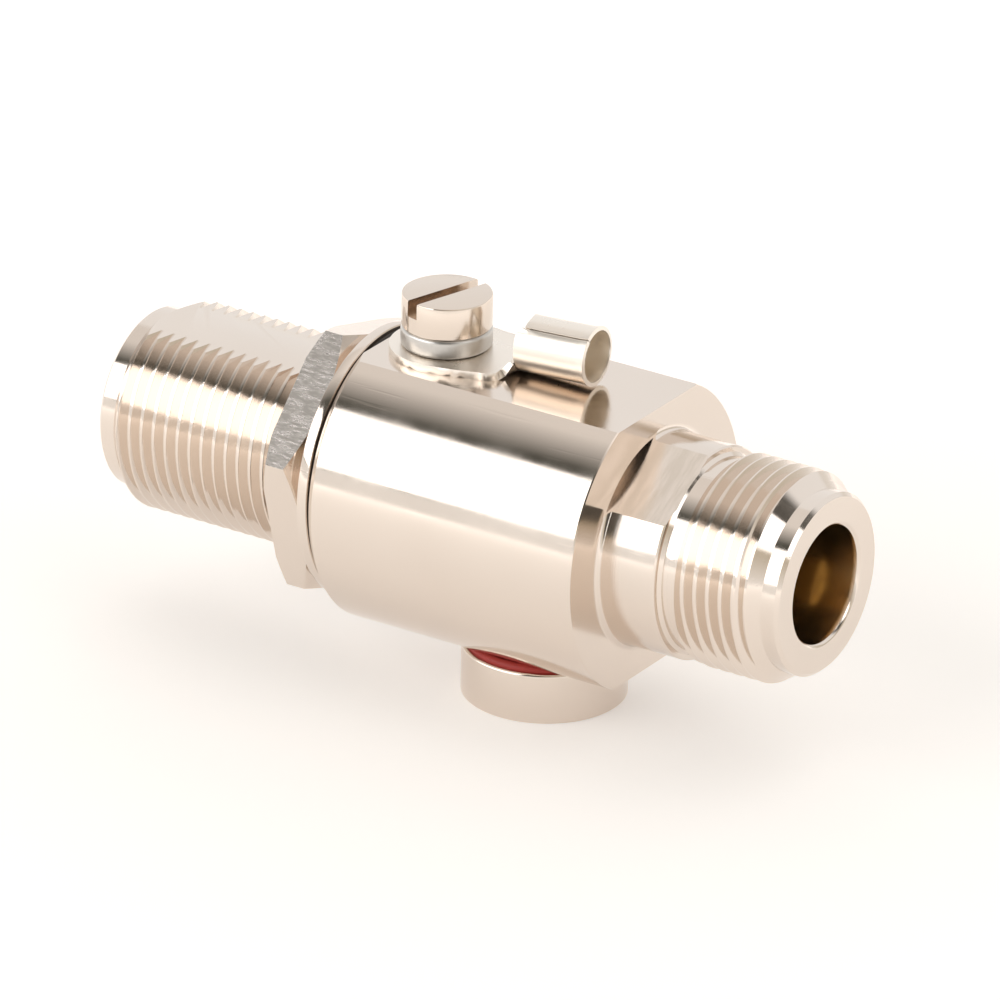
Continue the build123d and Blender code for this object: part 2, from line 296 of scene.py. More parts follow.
# %% [markdown]
# ## Rear barrel
#
# The barrel goes through a panel. It is threaded nearly to the shoulder, has a flat along its top that keys
# it in the panel's hole, and ends in a reduced nose. The thread is cut before the flat, so the grooves end
# sharply at the flat's edges. Drum and barrel then become one solid, as they are turned from one bar.

# %% Threaded barrel
nose_end = rear_tip + rear_nose_len
barrel = spun([
    (rear_tip, 0),
    (rear_tip, nose_r - face_chamfer),
    (rear_tip + face_chamfer, nose_r),
    (nose_end, nose_r),
    (nose_end + thread_chamfer, thread_r),
    (body_rear - relief_len - 0.4, thread_r),
    (body_rear - relief_len, thread_root_r - 0.05),
    (body_rear, thread_root_r - 0.05),
    (body_rear + 0.5, thread_root_r - 0.05),
    (body_rear + 0.5, 0),
], steps=200)
rear_crest = -32.36         # a crest seen in the photograph, this far along the axis ...
rear_crest_turn = 1.209     # ... at this angle from the top towards the viewer
groove_start = rear_crest + coupling_pitch * (0.5 - 2)
tool = thread_tool(
    groove_start, body_rear - 0.35, thread_r, thread_root_r, coupling_pitch,
    phase=rear_crest_turn,
)
barrel = combined(barrel, tool)
barrel = combined(barrel, block((rear_tip - 1, -far, axis_z + d_flat_h), (body_rear, far, axis_z + far)))
housing = combined(drum, barrel, "UNION")

# %% [markdown]
# ## Bores
#
# Each end has a socket for a plug, the middle is hollow, and a well below holds the gas tube. The cutters are
# spun solids too. They are taken away last, so that no inner wall of drum or barrel is left behind.

# %% Bores of the housing
socket_r = 4.35
socket_depth = 9.1
line_r = 3.5
line_len = 2.1
barrel_cavity_r = 5.8
cavity_r = 4.6
jack_spigot_r = 7.01
seat_r, seat_depth = 8.03, 0.8      # recess in the front face that the jack's neck enters
cap_thread_r = 5.0
well_r = 4.3
screw_r = 2.0
rear_reference = rear_tip + socket_depth
spigot_rear = jack_low.x
housing = combined(housing, spun([
    (rear_tip - 1, 0),
    (rear_tip - 1, socket_r + face_chamfer),
    (rear_tip, socket_r + face_chamfer),
    (rear_tip + face_chamfer, socket_r),
    (rear_reference, socket_r),
    (rear_reference, line_r),
    (rear_reference + line_len, line_r),
    (rear_reference + line_len, barrel_cavity_r),
    (body_rear, barrel_cavity_r),
    (body_rear, cavity_r),
    (spigot_rear, cavity_r),
    (spigot_rear, jack_spigot_r),
    (body_front - seat_depth, jack_spigot_r),
    (body_front - seat_depth, seat_r),
    (body_front + 1, seat_r),
    (body_front + 1, 0),
]))
stem_top = cap_high.z - axis_z
housing = combined(housing, spun([
    (-flat_h - 1, 0),
    (-flat_h - 1, cap_thread_r + 0.45),
    (-flat_h, cap_thread_r + 0.45),
    (-flat_h + 0.4, cap_thread_r + 0.05),
    (stem_top + 0.2, cap_thread_r + 0.05),
    (stem_top + 0.2, well_r),
    (0, well_r),
    (0, 0),
], upright=True, steps=96))
tap_end = screw_low.z - axis_z - 0.5
housing = combined(housing, spun([
    (tap_end - 1, 0),
    (tap_end, screw_r + 0.05),
    (flat_h - 0.2, screw_r + 0.05),
    (flat_h, screw_r + 0.25),
    (flat_h + 1, screw_r + 0.25),
    (flat_h + 1, 0),
], centre=(screw_x, 0), upright=True, steps=64))
body_piece = finished(housing, "body_and_barrel", "housing", ["housing"])

# %% [markdown]
# ## Front jack
#
# The jack screws into the body. Its neck sits in a shallow recess of the body's face, and its two wrench
# flats run down into that recess, so a dark gap shows behind each flat. A small fillet joins the neck to the
# body's face, and a relief groove lets the threading tool run out. In front of the thread the nose is turned
# down so that the plug's nut starts easily. The face has a small chamfer inside and out that catches the
# light.

# %% Front jack
neck_r = jack_high.y
neck_front = 14.05
neck_edge = 0.12            # small chamfer at the front of the neck
thread_start = neck_front + 1.65
thread_end = thread_start + 5.5
nose_start = thread_end + thread_chamfer
wrench_flat = 7.2
wrench_turn = 30.4
front_reference = front_face - socket_depth
root_r = 0.45               # fillet where the neck meets the body's face
root_arc = [(body_front + along, neck_r + out) for along, out in quarter_round(root_r)]
jack = spun([
    (spigot_rear, 0),
    (spigot_rear, jack_spigot_r - 0.01),
    (body_front - seat_depth, jack_spigot_r - 0.01),
    (body_front - seat_depth, neck_r),
    (body_front, neck_r),
    *root_arc,
    (neck_front - neck_edge, neck_r),
    (neck_front, neck_r - neck_edge),
    (neck_front, thread_root_r + 0.25),
    (neck_front + 0.25, thread_root_r),
    (thread_start - 0.35, thread_root_r),
    (thread_start, thread_r - 0.1),
    (thread_start + 0.1, thread_r),
    (thread_end, thread_r),
    (nose_start, nose_r),
    (front_face - face_chamfer, nose_r),
    (front_face, nose_r - face_chamfer),
    (front_face, 0),
], steps=200)
front_crest = 16.38         # a crest seen in the photograph, as on the barrel
front_crest_turn = 1.191
jack = combined(jack, thread_tool(
    front_crest - 1.5 * coupling_pitch, nose_start + 0.5, thread_r, thread_root_r, coupling_pitch,
    phase=front_crest_turn,
))
for side in (1, -1):
    near_z, far_z = sorted((axis_z + side * wrench_flat, axis_z + side * far))
    cut = block((body_front - seat_depth - 0.1, -far, near_z), (neck_front + 0.1, far, far_z))
    jack = combined(jack, tilted(cut, wrench_turn))
jack = combined(jack, spun([
    (front_face + 1, 0),
    (front_face + 1, socket_r + 0.32),
    (front_face, socket_r + 0.32),
    (front_face - 0.06, socket_r + 0.2),
    (front_face - 0.2, socket_r + 0.08),
    (front_face - 0.5, socket_r),
    (front_reference, socket_r),
    (front_reference, line_r),
    (front_reference - line_len, line_r),
    (front_reference - line_len, cavity_r),
    (spigot_rear - 1, cavity_r),
    (spigot_rear - 1, 0),
]))
jack_piece = finished(jack, "front_jack_threaded", "housing", ["front_jack"])

# %% [markdown]
# ## Hexagon nut
#
# The nut is turned with a chamfer on both faces and then milled, so each corner ends in a curved line where
# the chamfer meets a flat. A bevelled six sided cylinder would miss those curves. Its bore is threaded with
# the same tool as the barrel, pointing outwards.

# %% Hexagon nut
across_flats = 19.0
nut_turn = 15.6
corner_r = across_flats / 2 / math.cos(math.pi / 6)
front_land_r, rear_land_r = 9.2, 10.0
nut_rear, nut_front = nut_low.x, nut_high.x
front_drop = (corner_r - front_land_r) * math.tan(math.pi / 6)
rear_drop = (corner_r - rear_land_r) * math.tan(math.pi / 6)
nut_bore = thread_r + 0.05 - 0.6
nut = spun([
    (nut_rear, thread_r + 0.3),
    (nut_rear, rear_land_r),
    (nut_rear + rear_drop, corner_r + 0.001),
    (nut_front - front_drop, corner_r + 0.001),
    (nut_front, front_land_r),
    (nut_front, thread_r + 0.3),
    (nut_front - 0.9, nut_bore),
    (nut_rear + 0.9, nut_bore),
], steps=192)
for k in range(6):
    cut = block((nut_rear - 1, -far, axis_z + across_flats / 2), (nut_front + 1, far, axis_z + far))
    nut = combined(nut, tilted(cut, nut_turn + 30 + 60 * k))
nut = combined(nut, thread_tool(
    nut_rear - 1.2, nut_front + 1.2, nut_bore, thread_r + 0.05, coupling_pitch, phase=0.4, inner=True,
))
nut_piece = finished(nut, "bulkhead_nut", "nut", ["hex_nut"])

# %% [markdown]
# ## Washer and gasket
#
# The washer is a thin ring with rolled edges, and the gasket is a soft ring that bulges a little. Both are
# spun. The few extra points at their edges are what catches the light.

# %% Washer and gasket
washer_r = washer_high.y
washer = spun([
    (washer_low.x, thread_r + 0.1),
    (washer_low.x, washer_r - 0.12),
    (washer_low.x + 0.05, washer_r - 0.03),
    (washer_low.x + 0.15, washer_r),
    (washer_high.x - 0.15, washer_r),
    (washer_high.x - 0.05, washer_r - 0.03),
    (washer_high.x, washer_r - 0.12),
    (washer_high.x, thread_r + 0.1),
], steps=200)
washer_piece = finished(washer, "bulkhead_washer_rolled", "washer", ["bulkhead_washer"])
gasket_r = flat_h + 0.03
gasket = spun([
    (gasket_low.x, thread_r + 0.02),
    (gasket_low.x, gasket_r - 0.12),
    (gasket_low.x + 0.12, gasket_r - 0.02),
    (gasket_low.x + 0.25, gasket_r),
    (gasket_high.x - 0.12, gasket_r - 0.02),
    (gasket_high.x, gasket_r - 0.12),
    (gasket_high.x, thread_r + 0.02),
], steps=160)
gasket_piece = finished(
    gasket, "bulkhead_gasket_soft", "housing", ["bulkhead_gasket"], sharp=50,
)

# %% [markdown]
# ## Ground screw
#
# The screw has a plain cheese head with a single sawn slot. Its edges are only just broken, so the head
# shows a crisp bright rim. The slot is a box taken away, turned to the angle seen in the photograph.

# %% Ground screw
head_r = screw_high.x - screw_x
head_under = lock_high.z - axis_z
head_top = screw_high.z - axis_z
screw_tip = screw_low.z - axis_z
slot_w, slot_depth, slot_turn = 1.0, 1.2, 72.8
screw_pitch = 0.7
screw = spun([
    (screw_tip, 0),
    (screw_tip, screw_r - 0.4),
    (screw_tip + 0.4, screw_r),
    (head_under, screw_r),
    (head_under, head_r - 0.1),
    (head_under + 0.1, head_r),
    (head_top - 0.14, head_r),
    (head_top - 0.04, head_r - 0.04),
    (head_top, head_r - 0.14),
    (head_top, 0),
], centre=(screw_x, 0), upright=True, steps=128)
screw = combined(screw, thread_tool(
    screw_tip - 0.7, head_under - 0.9, screw_r, screw_r - 0.42, screw_pitch, upright_at=screw_x, steps=48,
))
slot = block(
    (screw_x - far, -slot_w / 2, axis_z + head_top - slot_depth),
    (screw_x + far, slot_w / 2, axis_z + far),
)
slot_spin = Matrix.Rotation(math.radians(slot_turn), 3, "Z")
bmesh.ops.rotate(slot, cent=(screw_x, 0, 0), matrix=slot_spin, verts=slot.verts)
screw = combined(screw, slot)
screw_piece = finished(screw, "ground_screw_slotted", "screw", ["ground_screw"])

# %% [markdown]
# ## Spring washer
#
# This is one turn of square wire with its corners drawn round and its two ends cut at a slant. It could be a
# short helix, but under the screw it is pressed flat, so a spun ring with a slanted slit is enough.

# %% Spring washer
lock_r = lock_high.x - screw_x
lock_bore_r = 2.1
lock_under = lock_low.z - axis_z
corner_arc = quarter_round(0.3)
bore_edge = 0.1
split_half, split_len, split_slant, split_turn = 0.25, 5, 22, 140
ring_outline = [(lock_under, lock_bore_r + bore_edge)]
ring_outline += [(lock_under + along, lock_r - out) for along, out in corner_arc]
ring_outline += [(head_under - out, lock_r - along) for along, out in corner_arc]
ring_outline += [
    (head_under, lock_bore_r + bore_edge),
    (head_under - bore_edge, lock_bore_r),
    (lock_under + bore_edge, lock_bore_r),
]
lock = spun(ring_outline, centre=(screw_x, 0), upright=True, steps=128)
split = block(
    (screw_x, -split_half, axis_z + lock_under - 1),
    (screw_x + split_len, split_half, axis_z + head_under + 1),
)
ring_middle = (screw_x, 0, axis_z + (lock_under + head_under) / 2)
for degrees, way in ((split_slant, "X"), (split_turn, "Z")):
    turn = Matrix.Rotation(math.radians(degrees), 3, way)
    bmesh.ops.rotate(split, cent=ring_middle, matrix=turn, verts=split.verts)
lock = combined(lock, split)
lock_piece = finished(lock, "spring_washer_split", "lock", ["spring_washer"], sharp=30)

# %% [markdown]
# ## Ring terminal
#
# The terminal is stamped and rolled from one strip of tinned brass. It starts here as a flat grid. Each row
# of the grid gets the width of the blank and a curvature: none in the eye and tongue, then quickly more in
# the narrow neck behind the tongue's shoulders, until two wings go all the way round as a barrel and meet on
# top. The far wing ends a little higher, as a rolled seam does. A plate joined to a tube would be quicker,
# but wouldn't look bent from one sheet. The grid then gets its thickness, its rounded rims and its hole.

# %% Ring terminal
sheet_t, wall_t = 0.6, 0.32              # the rolled wings are coined thinner than the tongue
eye_r, eye_shift = 4.35, 0.2
tongue_half, neck_half = 3.5, 2.2
tongue_reach, neck_reach = 4.6, 5.9     # the tongue's shoulders turn in between these
roll_from, roll_to = 5.75, 6.7
roll_r = 1.96
barrel_from, barrel_to = 6.8, 12.4
mouth_len, mouth_flare = 0.8, 0.12
seam_turn = math.radians(38)
terminal_turn = 3.6
barrel_slope = math.tan(math.radians(1.8))
wing_from, wing_swell, wing_shift = 0.55, 0.045, 0.5     # the far wing laps a little outwards
terminal_hole_r = 2.3


def strip_row(reach):
    """Half width on the near side, half width on the far side and curvature of the strip at a reach."""
    if reach <= eye_shift:
        half = math.sqrt(max(0.0, eye_r ** 2 - (reach - eye_shift) ** 2))
        return half, half, 0.0
    roll = min(1, max(0, (reach - roll_from) / (roll_to - roll_from)))
    curl = roll * roll * (3 - 2 * roll) / roll_r
    if reach >= barrel_from:
        return (math.pi - seam_turn) * roll_r - 0.02, (math.pi + seam_turn) * roll_r - 0.02, curl
    blend = min(1, (reach - eye_shift) / (tongue_reach - eye_shift))
    half = eye_r + (tongue_half - eye_r) * blend ** 1.5
    turn_in = min(1, max(0, (reach - tongue_reach) / (neck_reach - tongue_reach)))
    half = neck_half + (half - neck_half) * math.sqrt(max(0.0, 1 - turn_in ** 2.2))
    return half, half, curl


rows = []       # places along the strip, closer together where its outline bends
for k in range(25):
    rows.append(eye_shift - eye_r * math.cos(math.pi / 2 * k / 24))
rows += [eye_shift + (tongue_reach - eye_shift) * k / 10 for k in range(1, 11)]
rows += [tongue_reach + (neck_reach - tongue_reach) * math.sin(math.pi / 2 * k / 16) for k in range(1, 17)]
rows += [neck_reach + (barrel_from - 0.02 - neck_reach) * k / 4 for k in range(1, 5)]
rows += [barrel_from + (barrel_to - mouth_len - barrel_from) * k / 6 for k in range(7)]
rows += [barrel_to - mouth_len + mouth_len * k / 6 for k in range(1, 7)]
columns = 56
strip = bmesh.new()
bmesh.ops.create_grid(strip, x_segments=len(rows) - 1, y_segments=columns, size=1)
gauge = strip.verts.layers.deform.verify()
for vert in strip.verts:
    row = round((vert.co.x + 1) / 2 * (len(rows) - 1))
    across = vert.co.y
    reach = rows[row]
    near, far_half, curl = strip_row(reach)
    arc = across * (near if across < 0 else far_half)
    rolled = min(1, max(0, (reach - roll_from) / (roll_to - roll_from)))
    local_t = sheet_t + (wall_t - sheet_t) * rolled
    lift = local_t / 2 + max(0, reach - roll_from) * barrel_slope
    if curl < 1e-4:
        y, z = arc, 0.0
    else:
        y, z = math.sin(arc * curl) / curl, (1 - math.cos(arc * curl)) / curl
    flare = max(0, reach - (barrel_to - mouth_len)) / mouth_len
    centre_z = 1 / curl if curl > 1e-4 else 0
    swell = 1 + mouth_flare / roll_r * flare ** 1.5
    if reach >= barrel_from and across > wing_from:
        swell += wing_swell * ((across - wing_from) / (1 - wing_from)) ** 2
        start = (barrel_to - mouth_len - reach) / (barrel_to - mouth_len - barrel_from)
        reach += wing_shift * max(0, start) * min(1, (across - wing_from) / 0.3)
    if swell != 1:
        y, z = y * swell, centre_z + (z - centre_z) * swell
    vert.co = (reach, y, z + lift)
    vert[gauge][0] = local_t / sheet_t
bmesh.ops.remove_doubles(strip, verts=strip.verts, dist=1e-4)
bmesh.ops.recalc_face_normals(strip, faces=strip.faces)
terminal_sheet = as_object(strip, "strip")
terminal_sheet.vertex_groups.new(name="gauge")
thick = terminal_sheet.modifiers.new("thickness", "SOLIDIFY")
thick.thickness = sheet_t
thick.offset = 0
thick.use_even_offset = True
thick.vertex_group = "gauge"
thickened = terminal_sheet.evaluated_get(bpy.context.evaluated_depsgraph_get())
terminal = bmesh.new()
terminal.from_mesh(thickened.to_mesh())
bpy.data.objects.remove(terminal_sheet)
tongue_rim, barrel_rim = 0.16, 0.09
for low_reach, high_reach, rounding in ((-far, roll_from, tongue_rim), (barrel_from - 0.01, far, barrel_rim)):
    rims = [
        edge for edge in terminal.edges
        if len(edge.link_faces) == 2 and edge.calc_face_angle(0) > math.radians(50)
        and all(low_reach < vert.co.x < high_reach for vert in edge.verts)
    ]
    bmesh.ops.bevel(
        terminal, geom=rims, offset=rounding, offset_type="OFFSET", segments=4, profile=0.5,
        affect="EDGES", clamp_overlap=True,
    )
turn = Matrix.Rotation(math.radians(terminal_turn), 3, "Z")
bmesh.ops.rotate(terminal, cent=(0, 0, 0), matrix=turn, verts=terminal.verts)
bmesh.ops.translate(terminal, vec=(screw_x, 0, axis_z + flat_h), verts=terminal.verts)
terminal = combined(terminal, spun([
    (flat_h - 1, 0), (flat_h - 1, terminal_hole_r), (flat_h + 2, terminal_hole_r), (flat_h + 2, 0),
], centre=(screw_x, 0), upright=True, steps=96))
terminal_piece = finished(
    terminal, "ring_terminal_rolled", "terminal", ["ring_terminal"], sharp=35,
)

# %% [markdown]
# ## Tube cap
#
# The cap is turned from bar with a smooth round head, two blind holes underneath for a pin spanner, and a
# threaded stem with a pocket for the contact spring. It is spun upright, about its own axis.

# %% Tube cap
cap_r = cap_high.x
cap_bottom = cap_low.z - axis_z
head_up = -flat_h - 0.5
cap_pocket_r, cap_pocket_depth = 4.2, 2.7
seal_r, seal_groove = 0.4, 0.3
seal_out = cap_thread_r + 2 * seal_r + 0.02
round_r = 0.22
foot_edge = 0.12
cap_outline = [(cap_bottom, 0), (cap_bottom, cap_r - foot_edge), (cap_bottom + foot_edge, cap_r)]
cap_outline += [(head_up - out, cap_r - along) for along, out in quarter_round(round_r)]
cap_outline += [
    (head_up, seal_out),
    (head_up - seal_groove, seal_out),
    (head_up - seal_groove, cap_thread_r - 0.6),
    (head_up + 0.5, cap_thread_r - 0.6),
    (head_up + 0.9, cap_thread_r),
    (stem_top - 0.4, cap_thread_r),
    (stem_top, cap_thread_r - 0.4),
    (stem_top, cap_pocket_r),
    (stem_top - cap_pocket_depth, cap_pocket_r),
    (stem_top - cap_pocket_depth, 0),
]
cap = spun(cap_outline, upright=True, steps=160)
cap = combined(cap, thread_tool(
    head_up + 0.2, stem_top + 0.8, cap_thread_r, cap_thread_r - 0.55, 1.0, upright_at=0, steps=72,
))
pin_r, pin_out, pin_depth = 0.8, 3.8, 1.2      # holes for a pin spanner
pin_edge = 0.15
for x in (pin_out, -pin_out):
    cap = combined(cap, spun([
        (cap_bottom - 1, 0),
        (cap_bottom - 1, pin_r + pin_edge),
        (cap_bottom, pin_r + pin_edge),
        (cap_bottom + pin_edge, pin_r),
        (cap_bottom + pin_depth, pin_r),
        (cap_bottom + pin_depth + 0.2, 0),
    ], centre=(x, 0), upright=True, steps=40))
cap_piece = finished(cap, "tube_cap_turned", "cap", ["tube_cap"])

# %% [markdown]
# ## O-ring
#
# A rubber ring lies in a groove between the cap's head and the body's lower flat, so only a dark red line
# shows. Its outline is a circle of points, and the same helper spins it.

# %% O-ring
ring_centre = cap_thread_r + 0.01 + seal_r
seal_height = head_up - seal_groove + seal_r
section = []
for k in range(16):
    turn = 2 * math.pi * k / 16
    section.append((seal_height + seal_r * math.sin(turn), ring_centre + seal_r * math.cos(turn)))
seal = spun(section, upright=True, steps=128)
seal_piece = finished(seal, "cap_o_ring", "gas_tube", ["cap_seal"], sharp=80)

# %% [markdown]
# ## Shorthand for shader nodes
#
# A shader tree is nodes and links. With a few helpers each tree below reads as a list of what it is made of.

# %% Shorthand for shader nodes
def new_group(name, inputs, outputs):
    """Empty shader group with float or vector sockets."""
    group = bpy.data.node_groups.new(name, "ShaderNodeTree")
    kinds = {"vector": "NodeSocketVector", "value": "NodeSocketFloat"}
    for label, kind, start in inputs:
        made = group.interface.new_socket(label, in_out="INPUT", socket_type=kinds[kind])
        if start is not None:
            made.default_value = start
    for label, kind in outputs:
        group.interface.new_socket(label, in_out="OUTPUT", socket_type=kinds[kind])
    entry = group.nodes.new("NodeGroupInput")
    leave = group.nodes.new("NodeGroupOutput")
    return group, entry, leave


def add(tree, kind, **values):
    """New node with its settings, socket values and links from other sockets."""
    node = tree.nodes.new(kind)
    for key, value in values.items():
        if isinstance(value, bpy.types.NodeSocket):
            tree.links.new(value, node.inputs[key])
        elif hasattr(node, key):
            setattr(node, key, value)
        else:
            node.inputs[key].default_value = value
    return node


def math_node(tree, operation, first, second=None):
    """Math node on sockets or plain numbers."""
    node = tree.nodes.new("ShaderNodeMath")
    node.operation = operation
    for slot_number, value in enumerate((first, second)):
        if value is None:
            continue
        if isinstance(value, (int, float)):
            node.inputs[slot_number].default_value = value
        else:
            tree.links.new(value, node.inputs[slot_number])
    return node.outputs[0]


def ranged(tree, value, low, high, start=0.0, end=1.0, **settings):
    """Node that turns the span from low to high into the span from start to end."""
    node = add(tree, "ShaderNodeMapRange", Value=value, **settings)
    for label, number in (("From Min", low), ("From Max", high), ("To Min", start), ("To Max", end)):
        node.inputs[label].default_value = number
    return node


def mixed(tree, factor, first, second):
    """Colour that goes from the first to the second as the factor rises."""
    node = add(tree, "ShaderNodeMix", data_type="RGBA")
    tree.links.new(factor, node.inputs[0])
    for slot_number, value in ((6, first), (7, second)):
        if isinstance(value, tuple):
            node.inputs[slot_number].default_value = (*value, 1)
        else:
            tree.links.new(value, node.inputs[slot_number])
    return node.outputs[2]


def raised(tree, shader, height, strength, distance):
    """Small relief from a height, put on a shader."""
    bump = add(tree, "ShaderNodeBump", Strength=strength, Distance=distance * mm, Height=height)
    tree.links.new(bump.outputs["Normal"], shader.inputs["Normal"])


def blank_material(name):
    """New material with its tree, its shader and the object's own coordinates."""
    made = bpy.data.materials.new(name)
    made.use_nodes = True
    tree = made.node_tree
    return made, tree, tree.nodes["Principled BSDF"], add(tree, "ShaderNodeTexCoord").outputs["Object"]


# %% [markdown]
# ## Turning marks
#
# Bright nickel over turned brass is a warm, pale mirror, and what makes it look real is how uneven it is.
# First come the fine rings left by the lathe. They follow the distance from the axis plus the place along
# it, so that one noise serves cylinders and end faces alike.

# %% Node group for turning marks
turning, entry, leave = new_group(
    "turning marks",
    [("Vector", "vector", None), ("Rings per mm", "value", 14.0)],
    [("Height", "value")],
)
parts = add(turning, "ShaderNodeSeparateXYZ", Vector=entry.outputs["Vector"])
radius_squared = math_node(
    turning, "ADD",
    math_node(turning, "MULTIPLY", parts.outputs["Y"], parts.outputs["Y"]),
    math_node(turning, "MULTIPLY", parts.outputs["Z"], parts.outputs["Z"]),
)
radius = math_node(turning, "SQRT", radius_squared)
path = math_node(turning, "ADD", parts.outputs["X"], radius)
path_in_mm = math_node(turning, "MULTIPLY", path, 1000.0)
rings = math_node(turning, "MULTIPLY", path_in_mm, entry.outputs["Rings per mm"])
coarse = add(
    turning, "ShaderNodeTexNoise", noise_dimensions="1D", Scale=1.0, Detail=3.0, Roughness=0.7, W=rings,
)
patch = add(turning, "ShaderNodeTexNoise", Scale=220.0, Detail=1.0, Vector=entry.outputs["Vector"])
turning.links.new(
    math_node(turning, "MULTIPLY", coarse.outputs["Fac"], patch.outputs["Fac"]), leave.inputs["Height"],
)

# %% [markdown]
# ## Haze and scratches
#
# Handling leaves a cloudy haze, which only changes the roughness, and a few straight scratches. Those are a
# noise that is drawn out one way, of which only the highest parts are kept.

# %% Node group for haze and scratches
haze, entry, leave = new_group(
    "handling haze",
    [("Vector", "vector", None), ("Low", "value", 0.08), ("High", "value", 0.2)],
    [("Roughness", "value"), ("Scratches", "value")],
)
spot = entry.outputs["Vector"]
cloud = add(haze, "ShaderNodeTexNoise", Scale=180.0, Detail=5.0, Roughness=0.62, Vector=spot)
spread = ranged(haze, cloud.outputs["Fac"], 0.35, 0.7)
haze.links.new(entry.outputs["Low"], spread.inputs["To Min"])
haze.links.new(entry.outputs["High"], spread.inputs["To Max"])
haze.links.new(spread.outputs["Result"], leave.inputs["Roughness"])
stretched = add(haze, "ShaderNodeMapping", Scale=(90, 2600, 2600), Rotation=(0.3, 0.5, 0.4), Vector=spot)
lines = add(
    haze, "ShaderNodeTexNoise", Scale=1.0, Detail=2.0, Roughness=0.5, Vector=stretched.outputs["Vector"],
)
thin = ranged(haze, lines.outputs["Fac"], 0.66, 0.74)
haze.links.new(thin.outputs["Result"], leave.inputs["Scratches"])

# %% [markdown]
# ## Drawn and milled faces
#
# Drawn bar and milled flats carry straight marks instead of rings. The same kind of noise is stretched along
# X or across it, and its broad part also changes the colour, as the photograph shows on the nut.

# %% Node group for drawn and milled faces
brushed, entry, leave = new_group(
    "straight brushing",
    [("Vector", "vector", None), ("Along X", "value", 300.0), ("Across X", "value", 3000.0)],
    [("Height", "value"), ("Streaks", "value")],
)
across_x = entry.outputs["Across X"]
scales = add(brushed, "ShaderNodeCombineXYZ", X=entry.outputs["Along X"], Y=across_x, Z=across_x)
drawn = add(brushed, "ShaderNodeVectorMath", operation="MULTIPLY")
brushed.links.new(entry.outputs["Vector"], drawn.inputs[0])
brushed.links.new(scales.outputs["Vector"], drawn.inputs[1])
spot = drawn.outputs["Vector"]
hair = add(brushed, "ShaderNodeTexNoise", Scale=1.0, Detail=5.0, Roughness=0.75, Vector=spot)
brushed.links.new(hair.outputs["Fac"], leave.inputs["Height"])
wide = add(brushed, "ShaderNodeTexNoise", Scale=0.4, Detail=3.0, Roughness=0.6, Vector=spot)
pick = ranged(brushed, wide.outputs["Fac"], 0.42, 0.62)
brushed.links.new(pick.outputs["Result"], leave.inputs["Streaks"])


def brushed_metal(name, colour, dark, low, high, along, across, mark):
    """Plated metal with straight hairlines along the coax axis, or across it."""
    made, tree, shader, where = blank_material(name)
    shader.inputs["Metallic"].default_value = 1.0
    lines_node = add(tree, "ShaderNodeGroup", node_tree=brushed, Vector=where)
    lines_node.inputs["Along X"].default_value = along
    lines_node.inputs["Across X"].default_value = across
    streaks = lines_node.outputs["Streaks"]
    tree.links.new(mixed(tree, streaks, dark, colour), shader.inputs["Base Color"])
    tree.links.new(ranged(tree, streaks, 0, 1, high, low).outputs["Result"], shader.inputs["Roughness"])
    raised(tree, shader, lines_node.outputs["Height"], mark, 0.03)
    return made


# %% [markdown]
# ## Metals
#
# Each metal is one colour that drifts towards a darker one, with its own span of roughness. A mapping node
# lays the rings round the right axis, so that all turned pieces share the two groups above.

# %% Metals
def metal(name, colour, dark, low, high, axis="X", centre=(0, 0, axis_z * mm), rings=14.0, mark=0.12):
    """Plated metal whose turning marks run round an axis through the centre."""
    made, tree, shader, where = blank_material(name)
    shader.inputs["Metallic"].default_value = 1.0
    lie_down = (0, math.radians(-90), 0) if axis == "Z" else (0, 0, 0)
    placed = add(
        tree, "ShaderNodeMapping", vector_type="TEXTURE", Location=centre, Rotation=lie_down, Vector=where,
    ).outputs["Vector"]
    rings_node = add(tree, "ShaderNodeGroup", node_tree=turning, Vector=placed)
    rings_node.inputs["Rings per mm"].default_value = rings
    haze_node = add(tree, "ShaderNodeGroup", node_tree=haze, Low=low, High=high, Vector=placed)
    tree.links.new(haze_node.outputs["Roughness"], shader.inputs["Roughness"])
    tint = add(tree, "ShaderNodeTexNoise", Scale=90.0, Detail=4.0, Vector=placed)
    tree.links.new(mixed(tree, tint.outputs["Fac"], dark, colour), shader.inputs["Base Color"])
    height = math_node(
        tree, "SUBTRACT", rings_node.outputs["Height"],
        math_node(tree, "MULTIPLY", haze_node.outputs["Scratches"], 0.5),
    )
    raised(tree, shader, height, mark, 0.02)
    return made


nickel_colour, nickel_dark = (0.80, 0.715, 0.64), (0.74, 0.65, 0.575)
nickel = metal("nickel along the axis", nickel_colour, nickel_dark, 0.08, 0.17, mark=0.2)
nickel_cap = metal("nickel round the cap", nickel_colour, nickel_dark, 0.12, 0.22, "Z", (0, 0, 0), 10)
screw_centre = (screw_x * mm, 0, 0)
nickel_screw = metal(
    "nickel round the screw", (0.77, 0.675, 0.595), (0.70, 0.605, 0.52), 0.10, 0.18, "Z", screw_centre, 12,
)
nickel_drawn = brushed_metal(
    "nickel on drawn hexagon", (0.66, 0.61, 0.575), (0.38, 0.35, 0.32), 0.22, 0.36,
    along=2200, across=9000, mark=0.5,
)
# The wrench flats carry real milled hairlines. Their colour is paler than the turned nickel, and that paler
# colour is painted light.
nickel_milled_painted_paler = brushed_metal(
    "nickel on milled flats, paler as painted light", (0.84, 0.76, 0.69), (0.78, 0.70, 0.62), 0.16, 0.26,
    along=3200, across=500, mark=0.2,
)
tin = metal("bright tin", (0.92, 0.85, 0.77), (0.83, 0.76, 0.68), 0.24, 0.36, rings=3, mark=0.08)
# Inside the barrel the tin is rougher, which is its real dull finish, and paler than the outside tin, which
# is painted light in the barrel's hollow.
tin_inside_painted_paler = metal(
    "dull tin inside the barrel, paler as painted light", (0.98, 0.90, 0.79), (0.92, 0.83, 0.70), 0.45, 0.6, rings=3, mark=0.1,
)
